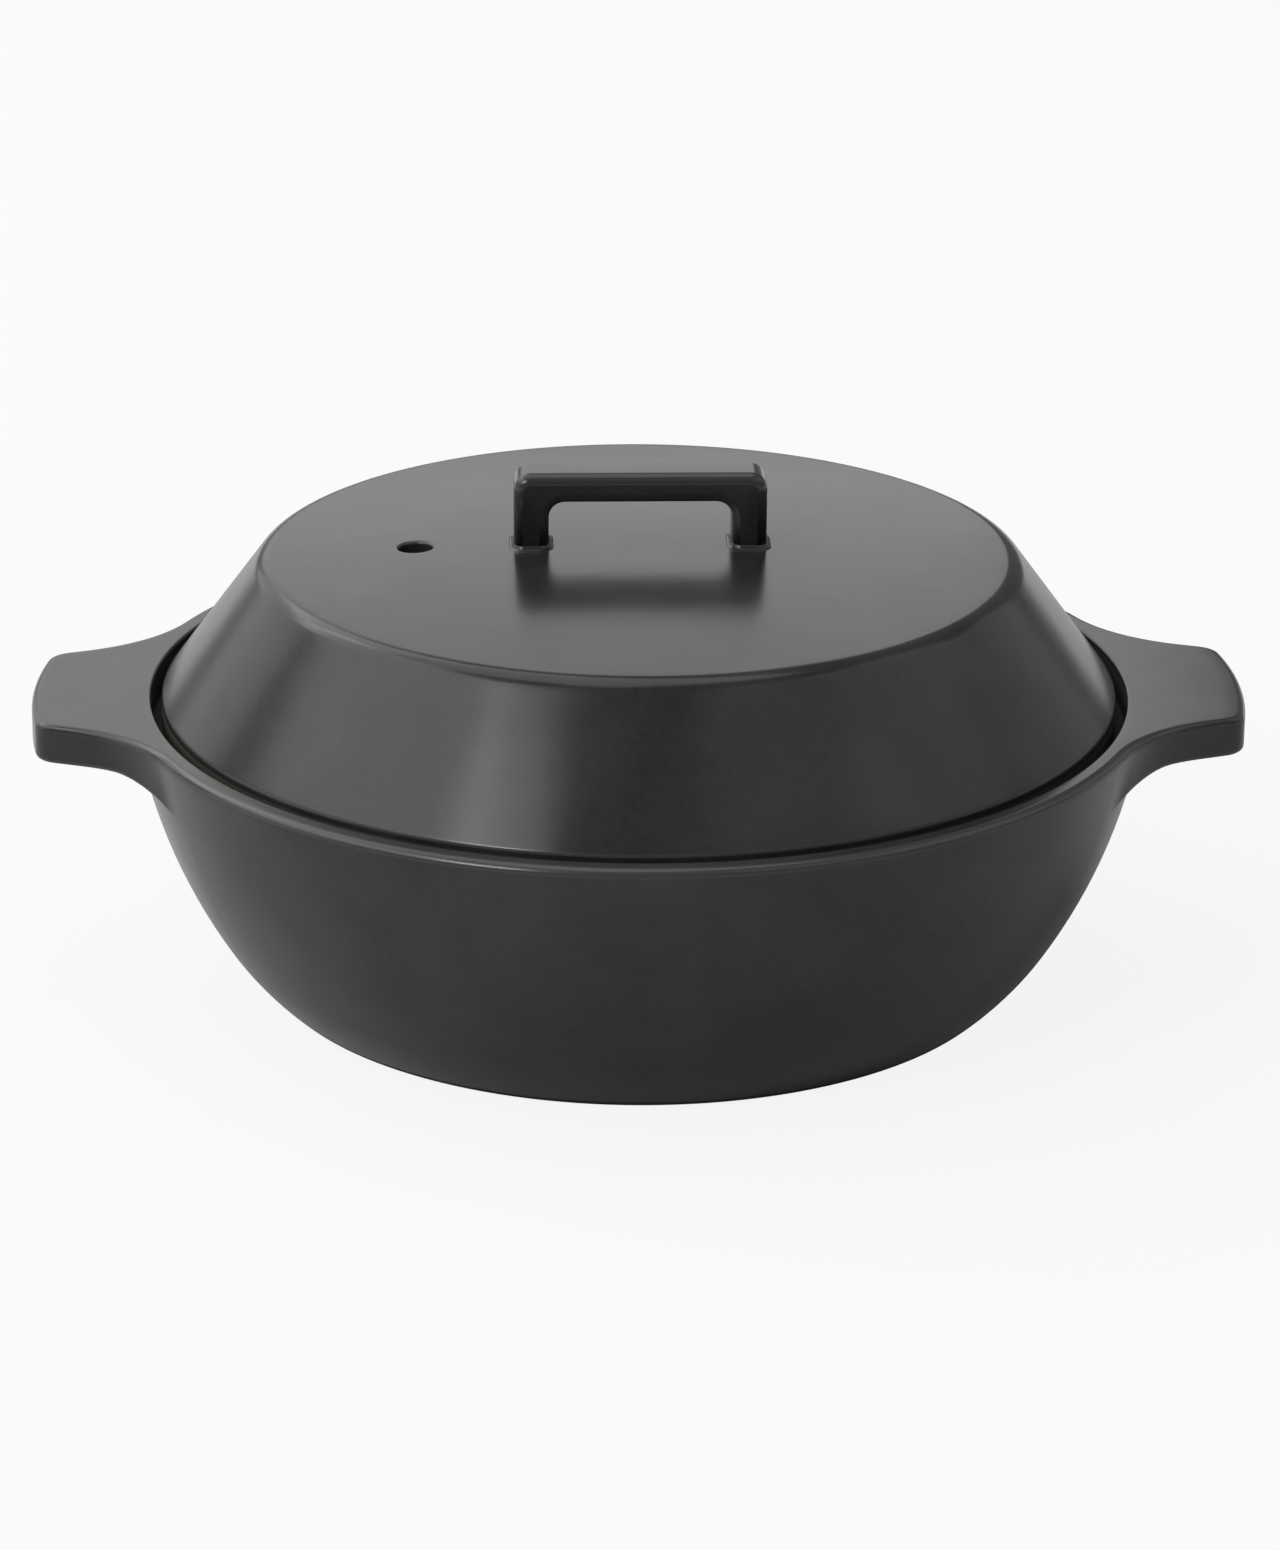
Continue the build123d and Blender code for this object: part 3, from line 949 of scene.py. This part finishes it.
def pot_mask(tree, place):
    """1 where the pot is left bare: its foot, and the recess that the lid would stick to."""
    both = {0: foot_mask(tree, place), 1: recess_mask(tree, place)}
    return add(tree, "ShaderNodeMath", {"operation": "MAXIMUM"}, both).outputs[0]


def seat_mask(tree, place):
    """1 on the ring that the lid stands on, and on its upright edge."""
    radius, height = radius_and_height(tree, place)
    top = rim_height - bare_margin
    inner = seat_inner + bare_margin
    return where_all(tree, (height, top, top - 1.5 * glaze_edge), (radius, inner, inner + glaze_edge))


pot_glaze = glazed_stoneware("satin_glazed_stoneware_pot", pot_mask)
lid_glaze = glazed_stoneware("satin_glazed_stoneware_lid", seat_mask)
for piece, material in (
    (pot_body, pot_glaze), (lid_body, lid_glaze), (lid_handle_body, lid_glaze), (handle_slip, lid_glaze),
):
    piece.data.materials.append(material)
    print(piece.name, "wears", material.name)

# %% [markdown]
# ## Studio: floor, light and camera
#
# The pot stands on a plain white floor under large soft lights, the way a catalogue picture is
# lit. A dark satin glaze shows mostly what it mirrors, so the place and the brightness of each
# white surface round it matter more than the strength of a lamp.

# %% Floor
floor_reach = 6.0
floor_mesh = bmesh.new()
bmesh.ops.create_grid(floor_mesh, x_segments=1, y_segments=1, size=floor_reach)
floor_data = bpy.data.meshes.new("floor")
floor_mesh.to_mesh(floor_data)
floor_mesh.free()
floor = bpy.data.objects.new("floor", floor_data)
bpy.context.scene.collection.objects.link(floor)

# the camera and clear things see a white floor, and so does a glossy ray far from the pot,
# but close to the pot the glaze mirrors the real floor with the pot's shadow on it
floor_colour = "#d2d2d2"
floor_glow_share = 0.88
mirror_start, mirror_end = 0.5, 1.2


def maths(tree, operation, first, second):
    """One step of arithmetic on two sockets, or on a socket and a number."""
    fixed, linked = {"operation": operation}, {0: first}
    (fixed if isinstance(second, float) else linked)[1] = second
    return add(tree, "ShaderNodeMath", fixed, linked).outputs[0]


floor_material, tree = new_material("white_studio_floor")
ray = add(tree, "ShaderNodeLightPath").outputs
place = add(tree, "ShaderNodeTexCoord").outputs["Object"]
away = add(tree, "ShaderNodeVectorMath", {"operation": "LENGTH"}, {0: place}).outputs["Value"]
far = add(tree, "ShaderNodeMapRange", {"From Min": mirror_start, "From Max": mirror_end}, {"Value": away})
mirrored = maths(tree, "MULTIPLY", ray["Is Glossy Ray"], far.outputs["Result"])
seen = maths(tree, "ADD", ray["Is Camera Ray"], mirrored)
seen = maths(tree, "MAXIMUM", seen, ray["Is Transmission Ray"])
share = maths(tree, "MULTIPLY", seen, floor_glow_share)
matt = add(tree, "ShaderNodeBsdfDiffuse", {"Color": linear(floor_colour)})
white = add(tree, "ShaderNodeEmission", {"Color": (1, 1, 1, 1), "Strength": 1.0})
blend = add(tree, "ShaderNodeMixShader", (), {0: share, 1: matt.outputs[0], 2: white.outputs[0]})
add(tree, "ShaderNodeOutputMaterial", (), {"Surface": blend.outputs[0]})
floor_data.materials.append(floor_material)
print("floor:", 2 * floor_reach, "m across, in", floor_colour)

# %% World
room_light = 0.19
world = bpy.data.worlds.new("studio")
bpy.context.scene.world = world
world.use_nodes = True
tree = world.node_tree
tree.nodes.clear()
room = add(tree, "ShaderNodeBackground", {"Color": (1, 1, 1, 1), "Strength": room_light})
add(tree, "ShaderNodeOutputWorld", (), {"Surface": room.outputs[0]})

# %% Softboxes round the pot
pot_middle = Vector((0, 0, 60 * MM))
light_distance = 2.5


def softbox(name, around, up, width, height, brightness):
    """An evenly bright panel that faces the pot, by degrees round from the front and up."""
    turn, rise = radians(around), radians(up)
    way = Vector((sin(turn) * cos(rise), -cos(turn) * cos(rise), sin(rise)))
    data = bpy.data.lights.new(name, "AREA")
    data.shape = "RECTANGLE"
    data.size, data.size_y = width, height
    data.energy = pi * width * height * brightness
    light = bpy.data.objects.new(name, data)
    light.location = way * light_distance
    light.rotation_euler = (pot_middle - light.location).to_track_quat("-Z", "Y").to_euler()
    bpy.context.scene.collection.objects.link(light)


studio = {
    "backdrop_left": (222, 21, 1.6, 1.3, 0.9),
    "backdrop_middle": (185, 25, 1.4, 1.3, 0.94),
    "backdrop_right": (122, 19, 1.3, 1.15, 0.31),
    "left_back_softbox": (217, 44, 1.1, 1.2, 1.8),
    "left_softbox": (270, 42, 3.4, 1.3, 2.05),
    "key_softbox": (320, 42, 0.8, 0.8, 3.0),
    "low_key_softbox": (322, 33, 0.7, 0.5, 10.0),
    "overhead_softbox": (225, 80, 2.0, 2.0, 1.3),
    "left_wall": (270, 14, 1.7, 1.15, 0.6),
    "right_wall": (90, 14, 1.7, 1.15, 0.15),
    "right_softbox": (90, 42, 1.6, 1.3, 0.53),
    "right_front_softbox": (45, 42, 1.6, 1.3, 0.33),
}
for name, sizes in studio.items():
    softbox(name, *sizes)
print("softboxes:", len(studio), "at", light_distance, "m")

# %% Camera at the photograph's viewing angle
camera_distance = 1411.2 * MM
camera_elevation = radians(20.5)
camera_azimuth = radians(-2.0)
camera_roll = radians(0.335)
aim = Vector((0.4 * MM, 0, 49.85 * MM))
photo_long_side = 1550
focal_pixels = 5558.6

camera_data = bpy.data.cameras.new("camera")
camera_data.sensor_width = 36.0
camera_data.lens = camera_data.sensor_width * focal_pixels / photo_long_side
camera = bpy.data.objects.new("camera", camera_data)
level_way = Vector((sin(camera_azimuth), -cos(camera_azimuth), 0)) * cos(camera_elevation)
away = level_way + Vector((0, 0, sin(camera_elevation)))
camera.location = aim + away * camera_distance
look = (-away).to_track_quat("-Z", "Y").to_matrix().to_4x4()
camera.matrix_world = Matrix.Translation(camera.location) @ look @ Matrix.Rotation(camera_roll, 4, "Z")
bpy.context.scene.collection.objects.link(camera)
bpy.context.scene.camera = camera
bpy.context.scene.view_settings.view_transform = "Standard"
print("lens in mm:", round(camera_data.lens, 1))
